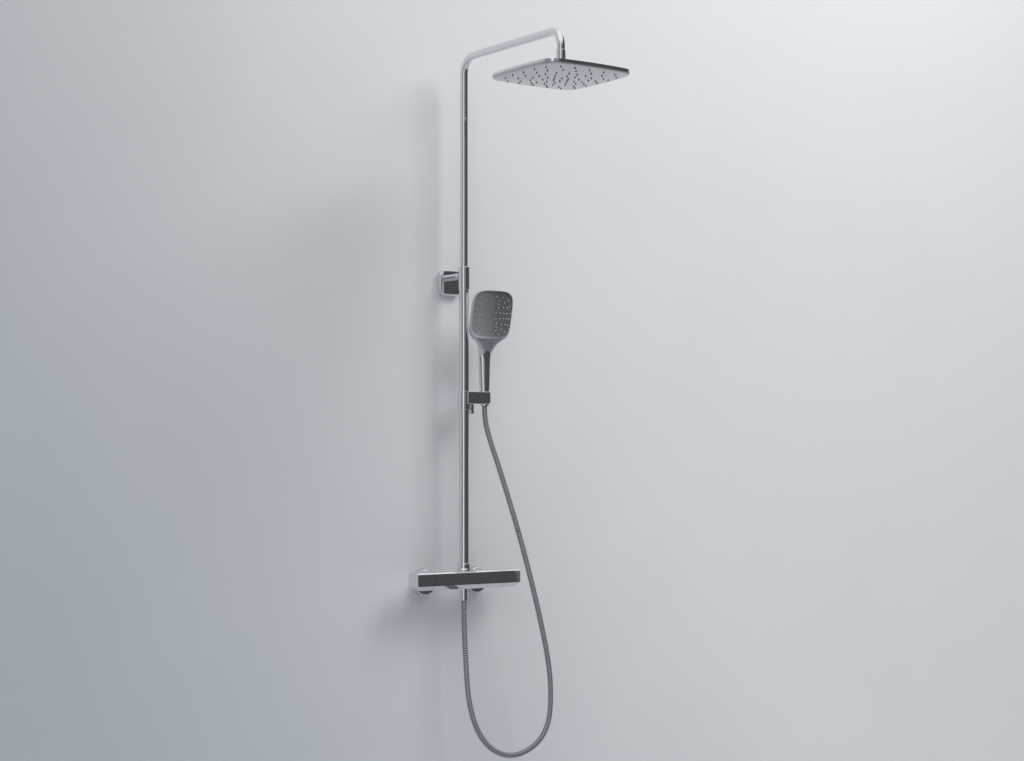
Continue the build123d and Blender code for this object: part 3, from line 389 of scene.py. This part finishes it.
# ---------------------------------------------------------------- the stage
class COLUMN_OT_stage(bpy.types.Operator):
    """Makes the wall, the floor, the lamp, the room's light and the camera"""
    bl_idname = "column.stage"
    bl_label = "Stage"

    left, right, front = -7, 9, -3.5
    wall_foot, wall_head = -2.2, 4.5

    def execute(self, context):
        stage = context.scene.column_stage
        left, right, front = self.left, self.right, self.front
        foot, head, low = self.wall_foot, self.wall_head, stage.floor_height
        self.add_camera(context)
        wall = self.add_plane(
            "wall", [(left, WALL, foot), (right, WALL, foot), (right, WALL, head), (left, WALL, head)],
            Vector((0, -1, 0)), tuple(stage.wall_colour), tuple(stage.wall_painted_shade), True)
        floor = self.add_plane(
            "floor", [(left, front, low), (right, front, low), (right, 0, low), (left, 0, low)],
            Vector((0, 0, 1)), tuple(stage.floor_colour), tuple(stage.floor_colour), False)
        self.add_lamp("overhead_right", (1.6, -2.2, 3.2), (0, 0, 0.5), 1.8, stage.lamp_power)
        self.add_world(context)
        context.scene.view_settings.view_transform = "Standard"
        return {"FINISHED"}

    def add_camera(self, context):
        """The camera stands to the left and looks level, with the picture shifted up."""
        data = bpy.data.cameras.new("camera")
        data.lens = 66.45
        data.sensor_width = 36.0
        data.shift_y = 0.0715
        camera = bpy.data.objects.new("camera", data)
        camera.location = (-2.5611, -3.7901, 0.3072)
        camera.rotation_euler = (math.radians(90), 0, math.radians(-36))
        context.scene.collection.objects.link(camera)
        context.scene.camera = camera

    def add_plane(self, name, corners, facing, colour, shade, one_sided):
        """One flat face that looks along facing; a one-sided plane isn't seen from behind."""
        bm = bmesh.new()
        bmesh.ops.contextual_create(bm, geom=[bm.verts.new(corner) for corner in corners])
        bm.normal_update()
        bmesh.ops.reverse_faces(bm, faces=[face for face in bm.faces if face.normal.dot(facing) < 0])
        mesh = bpy.data.meshes.new(name)
        bm.to_mesh(mesh)
        bm.free()
        plane = bpy.data.objects.new(name, mesh)
        bpy.context.scene.collection.objects.link(plane)
        material = bpy.data.materials.new(name)
        material.use_nodes = True
        tree = material.node_tree
        tree.nodes.clear()
        # Painted shade: the colour runs from the shade colour at the lower left to the wall colour at the
        # upper right, as though the lamp's light falls off across the wall; the cloud adds random tone. The
        # floor's two colours are the same, so no shade is painted on it.
        side, _, height = axes(tree)
        painted_shade_slant = (side * 0.8 + height * 0.6).clamped(-1.1, 0.9)
        cloud = noise(tree, 1.6, 3.0)
        paint = mixed(tree, painted_shade_slant + (cloud - 0.5) * 0.35, shade, colour)
        shader = node(tree, "ShaderNodeBsdfPrincipled", None, {"Base Color": paint, "Roughness": 0.7})
        if one_sided:
            back = node(tree, "ShaderNodeNewGeometry", output=BACKFACING)
            clear = node(tree, "ShaderNodeBsdfTransparent")
            shader = node(tree, "ShaderNodeMixShader", None, {0: back, 1: shader, 2: clear})
        out = tree.nodes.new("ShaderNodeOutputMaterial")
        tree.links.new(shader.socket, out.inputs["Surface"])
        mesh.materials.append(material)
        return plane

    def add_lamp(self, name, place, target, size, watts):
        """A square lamp that looks at the target and isn't seen in reflections."""
        data = bpy.data.lights.new(name, "AREA")
        data.shape = "SQUARE"
        data.size = size
        data.energy = watts
        lamp = bpy.data.objects.new(name, data)
        lamp.location = place
        lamp.visible_glossy = False
        lamp.rotation_euler = (Vector(target) - Vector(place)).to_track_quat("-Z", "Y").to_euler()
        bpy.context.scene.collection.objects.link(lamp)

    def add_world(self, context):
        """A soft room: bright above, grey below, a tall window at the left and a dark side at the right."""
        world = bpy.data.worlds.new("room")
        world.use_nodes = True
        tree = world.node_tree
        tree.nodes.clear()
        side, depth, height = axes(tree, DIRECTION)
        ground, far_wall, ceiling = (0.26, 0.27, 0.29), (0.34, 0.35, 0.37), (1.30, 1.31, 1.33)
        dark_low, dark_high = (0.20, 0.21, 0.225), (0.092, 0.095, 0.101)
        pane_light, seen_behind = (1.25, 1.26, 1.28), (0.72, 0.73, 0.75)

        room = mixed(tree, height.clamped(-0.75, -0.2), ground, far_wall)
        room = mixed(tree, height.clamped(0.15, 0.6), room, ceiling)
        level = height.clamped(-0.75, -0.25) * (height + (0.62 - side) * 0.9).clamped(0.80, 0.60)
        turned_right = (side * 0.87 - depth * 0.5).clamped(-0.02, 0.10)
        in_front = (0 - depth).clamped(-0.06, 0.08)
        gloom = mixed(tree, height.clamped(-0.40, -0.12), dark_low, dark_high)
        room = mixed(tree, level * turned_right * in_front, room, gloom)
        across = side * -0.69 + depth * 0.72
        pane = (across * across).clamped(0.030, 0.016)
        ahead = (side * -0.72 - depth * 0.69).clamped(0.1, 0.3)
        window = pane * ahead * height.clamped(-0.45, -0.30)
        room = mixed(tree, window, room, pane_light)

        seen = node(tree, "ShaderNodeLightPath", output="Is Camera Ray")
        room = mixed(tree, seen, room, seen_behind)
        backdrop = node(tree, "ShaderNodeBackground", None, {"Color": room, "Strength": 0.8})
        out = tree.nodes.new("ShaderNodeOutputWorld")
        tree.links.new(backdrop.socket, out.inputs["Surface"])
        context.scene.world = world


# ---------------------------------------------------------------- the hose
def route_line(name, points):
    """The smooth line along a route, read from a spline that has the points as its controls."""
    data = bpy.data.curves.new(name, "CURVE")
    data.dimensions = "3D"
    data.resolution_u = 24
    spline = data.splines.new("NURBS")
    spline.points.add(len(points) - 1)
    for knot, point in zip(spline.points, points):
        knot.co = (*point, 1.0)
    spline.order_u = 3
    spline.use_endpoint_u = True
    curve = bpy.data.objects.new(name, data)
    bpy.context.scene.collection.objects.link(curve)
    mesh = bpy.data.meshes.new_from_object(curve)
    line = [vert.co.copy() for vert in mesh.vertices]
    bpy.data.objects.remove(curve)
    bpy.data.meshes.remove(mesh)
    return line


def line_length(line):
    """The length of a line of points."""
    return sum((b - a).length for a, b in zip(line, line[1:]))


def walk(line, spacing):
    """Places at even spacing along a line, each with its distance from the start."""
    total = line_length(line)
    count = max(2, round(total / spacing))
    stops, travelled, index = [], 0.0, 0
    for step in range(count + 1):
        wanted = total * step / count
        while index < len(line) - 2 and travelled + (line[index + 1] - line[index]).length < wanted:
            travelled += (line[index + 1] - line[index]).length
            index += 1
        run = line[index + 1] - line[index]
        share = min(1.0, (wanted - travelled) / run.length)
        stops.append((line[index].lerp(line[index + 1], share), wanted))
    return stops


class COLUMN_OT_hose(bpy.types.Operator):
    """Winds the spiral hose along its two lengths"""
    bl_idname = "column.hose"
    bl_label = "Hose"

    around, per_turn = 16, 8
    crest_breadth = 1.5  # the higher, the broader the crests and the narrower the grooves

    def execute(self, context):
        steel = FINISHES["hose_steel"]
        settings = context.scene.column_hose
        upper = route_line("upper_route", UPPER_ROUTE)
        lower = route_line("lower_route", LOWER_ROUTE)
        upper_hose = self.wind("hose_upper_spiral", upper, settings, steel)
        lower_hose = self.wind("hose_lower_spiral", lower, settings, steel)
        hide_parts("hose_upper")
        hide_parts("hose_lower")
        line_length(upper)
        line_length(lower)
        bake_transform(upper_hose)
        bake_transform(lower_hose)
        return {"FINISHED"}

    def wind(self, name, line, settings, material):
        """A tube whose radius rises and falls along a helix, like interlocked steel strip."""
        around = self.around
        stops = walk(line, settings.pitch / self.per_turn)
        rows = len(stops)
        bm = bmesh.new()
        bmesh.ops.create_grid(bm, x_segments=around, y_segments=rows - 1, size=1.0)
        side = Vector((1, 0, 0))
        frames = []
        for index in range(rows):
            ahead = stops[min(index + 1, rows - 1)][0] - stops[max(index - 1, 0)][0]
            ahead.normalize()
            side = (side - ahead * side.dot(ahead)).normalized()
            frames.append((stops[index][0], side.copy(), ahead.cross(side), stops[index][1]))
        outer = settings.diameter / 2
        depth = bm.verts.layers.float.new("groove")
        for vert in bm.verts:
            column = round((vert.co.x + 1) / 2 * around)
            row = round((vert.co.y + 1) / 2 * (rows - 1))
            centre, across, up, travelled = frames[row]
            angle = 2 * math.pi * column / around
            phase = travelled / settings.pitch - column / around
            wave = (0.5 + 0.5 * math.cos(2 * math.pi * phase)) ** self.crest_breadth
            radius = outer - settings.groove * wave
            # the groove depth, which the hose's material turns into painted shade in the grooves
            vert[depth] = wave
            vert.co = centre + across * (radius * math.cos(angle)) + up * (radius * math.sin(angle))
        bmesh.ops.remove_doubles(bm, verts=bm.verts, dist=1e-6)
        bmesh.ops.holes_fill(bm, edges=[e for e in bm.edges if e.is_boundary], sides=around)
        return finished(bm, name, material, None)


# ---------------------------------------------------------------- the hand shower
class COLUMN_OT_handset(bpy.types.Operator):
    """Models the hand shower's shell and its spray face"""
    bl_idname = "column.handset"
    bl_label = "Hand shower"

    face_middle = 0.6385
    face_forward = 0.031
    face_half_height = 0.0583
    half_width, thickness = 0.0584, 0.0140
    outline_power, back_power = 4.4, 7
    neck_start, neck_rise = 0.546, 0.032  # where the round handle starts to turn flat, and over what height
    plate_half_width, plate_half_height = 0.0576, 0.0573
    plate_power = 0.44

    # Level slices of the handle and the neck: height, half width, front and back from the column's
    # axis, all in millimetres. Above them the head keeps its own outline.
    slices = [
        (455.8, 11.7, -11.0, 11.0),
        (463.0, 13.2, -11.4, 11.4),
        (482.0, 14.2, -11.6, 11.6),
        (506.0, 14.8, -11.9, 11.9),
        (530.0, 15.5, -12.2, 11.8),
        (543.0, 16.8, -12.7, 10.8),
        (554.5, 19.2, -13.6, 9.2),
        (562.0, 21.4, -14.9, 7.4),
        (568.0, 24.4, -16.0, 5.2),
        (573.5, 29.8, -17.2, 2.6),
        (578.4, 37.0, -18.2, -0.4),
        (583.2, 44.6, -19.2, -3.4),
        (588.0, 50.6, -20.3, -6.0),
        (593.0, 54.2, -21.3, -7.8),
        (599.0, 56.4, -22.6, -9.4),
        (607.0, 57.8, -24.3, -11.2),
        (615.0, 58.3, -26.0, -12.8),
        (626.0, 58.4, -28.3, -14.8),
        (638.5, 58.4, -31.0, -17.0),
    ]

    def execute(self, context):
        self.settings = context.scene.column_handset
        shell = self.build_shell()
        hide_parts("handset_shell")
        face = self.build_face()
        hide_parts("handset_face_plate")
        return {"FINISHED"}

    def face_y(self, z):
        """The spray face's distance in front of the column's axis, at a height."""
        return -self.face_forward - (z - self.face_middle) * math.tan(self.settings.face_tilt)

    def build_shell(self):
        rows = [[value / 1000 for value in row] for row in self.slices]
        sections = []
        for z, half, front, back in smooth_rows(rows, 4):
            sections.append(self.section(z, half, front, back, self.boxiness(z)))
        top_rows = 16
        for step in range(1, top_rows + 1):
            t = math.sin(0.5 * math.pi * step / top_rows) * 0.998
            z = self.face_middle + self.face_half_height * t
            half = self.half_width * (1 - t ** self.outline_power) ** (1 / self.outline_power)
            front = self.face_y(z)
            depth = self.thickness * (1 - t ** self.back_power) ** (1 / self.back_power) * (1 - 0.18 * t * t)
            sections.append(self.section(z, half, front, front + depth, self.boxiness(z)))
        bm = lofted(sections)
        metal = bpy.context.scene.column_metal
        finish = handset_shell_finish(tuple(metal.chrome_colour), metal.chrome_roughness + PLATED,
                                      self.settings.face_tilt, self.face_forward, self.face_middle)
        return finished(bm, "hand_shower_shell", finish, "handset")

    def boxiness(self, z):
        """0 along the round handle, 1 in the flat head."""
        t = min(1.0, max(0.0, (z - self.neck_start) / self.neck_rise))
        return t * t * (3 - 2 * t)

    def section(self, z, half, front, back, flat):
        """One level slice: an ellipse in the handle, flat in front with a rounded back in the head."""
        middle = (front + back) / 2 * (1 - flat) + (front + 0.004) * flat
        front_power = 2 / (2 + 5 * flat)
        back_power = 2 / (2 + 1.0 * flat)

        def point(angle):
            c, s = math.cos(angle), math.sin(angle)
            exponent = front_power if s < 0 else back_power
            reach = (middle - front) if s < 0 else (back - middle)
            return Vector((HANDSET_X + half * power(c, exponent),
                           COLUMN_Y + middle + reach * power(s, exponent), z))
        return point

    def build_face(self):
        """A slightly crowned plate set into the head, a soft square like its outline."""
        middle = self.face_middle + 0.0010
        lean = self.settings.face_tilt
        out = Vector((0, -math.cos(lean), -math.sin(lean)))
        up = Vector((0, -math.sin(lean), math.cos(lean)))
        centre = Vector((HANDSET_X, COLUMN_Y + self.face_y(middle), middle))

        def outline(share, lift):
            def point(angle):
                across = self.plate_half_width * share * power(math.cos(angle), self.plate_power)
                along = self.plate_half_height * share * power(math.sin(angle), self.plate_power)
                return centre + Vector((across, 0, 0)) + up * along + out * lift
            return point

        # The edge, then the crown up to its middle: share of the outline, lift above the face.
        crown = 0.0006
        levels = [(0.995, -0.0020), (1.0, -0.0002), (0.997, 0.0002), (0.985, 0.0005)]
        levels += [(share, crown + crown * (1 - share ** 2))
                   for share in (0.9, 0.75, 0.6, 0.45, 0.3, 0.15, 0.05)]
        bm = lofted([outline(share, lift) for share, lift in levels])
        return finished(bm, "hand_shower_face", FINISHES["spray_face"], "handset")


# ---------------------------------------------------------------- metal on the solid pieces
class COLUMN_OT_finish(bpy.types.Operator):
    """Gives every solid piece its finish"""
    bl_idname = "column.finish"
    bl_label = "Finishes"

    # nodes whose finish differs from their slot's
    own_finish = {"handset_nozzles": "pale_nozzle", "handset_button": "spray_face"}

    def execute(self, context):
        slots = {part["node"]: part["material_slot"] for part in frame["record"]["subparts"]}
        for name, piece in NODES.items():
            material = FINISHES[self.own_finish.get(name, slots[name])]
            if not piece.material_slots:
                piece.data.materials.append(material)
            for holder in piece.material_slots:
                holder.material = material
        return {"FINISHED"}


class COLUMN_PT_panel(bpy.types.Panel):
    """Lists the column's settings and operators"""
    bl_label = "Shower Column"
    bl_idname = "COLUMN_PT_panel"
    bl_space_type = "VIEW_3D"
    bl_region_type = "UI"
    bl_category = "Shower Column"

    def draw(self, context):
        for settings in (context.scene.column_stage, context.scene.column_metal,
                         context.scene.column_hose, context.scene.column_handset):
            for name in settings.__annotations__:
                self.layout.prop(settings, name)
        for operator in OPERATORS:
            self.layout.operator(operator.bl_idname)


OPERATORS = (COLUMN_OT_stage, COLUMN_OT_hose, COLUMN_OT_handset, COLUMN_OT_finish)
GROUPS = {
    "column_stage": StageSettings,
    "column_metal": MetalSettings,
    "column_hose": HoseSettings,
    "column_handset": HandsetSettings,
}
FINISHES = {}


def register():
    for group in GROUPS.values():
        bpy.utils.register_class(group)
    for name, group in GROUPS.items():
        setattr(bpy.types.Scene, name, bpy.props.PointerProperty(type=group))
    for operator in OPERATORS:
        bpy.utils.register_class(operator)
    bpy.utils.register_class(COLUMN_PT_panel)


def unregister():
    bpy.utils.unregister_class(COLUMN_PT_panel)
    for operator in reversed(OPERATORS):
        bpy.utils.unregister_class(operator)
    for name, group in GROUPS.items():
        delattr(bpy.types.Scene, name)
        bpy.utils.unregister_class(group)


def main():
    register()
    FINISHES.update(finishes())
    for operator in OPERATORS:
        group, name = operator.bl_idname.split(".")
        getattr(getattr(bpy.ops, group), name)()


if __name__ == "__main__":
    main()
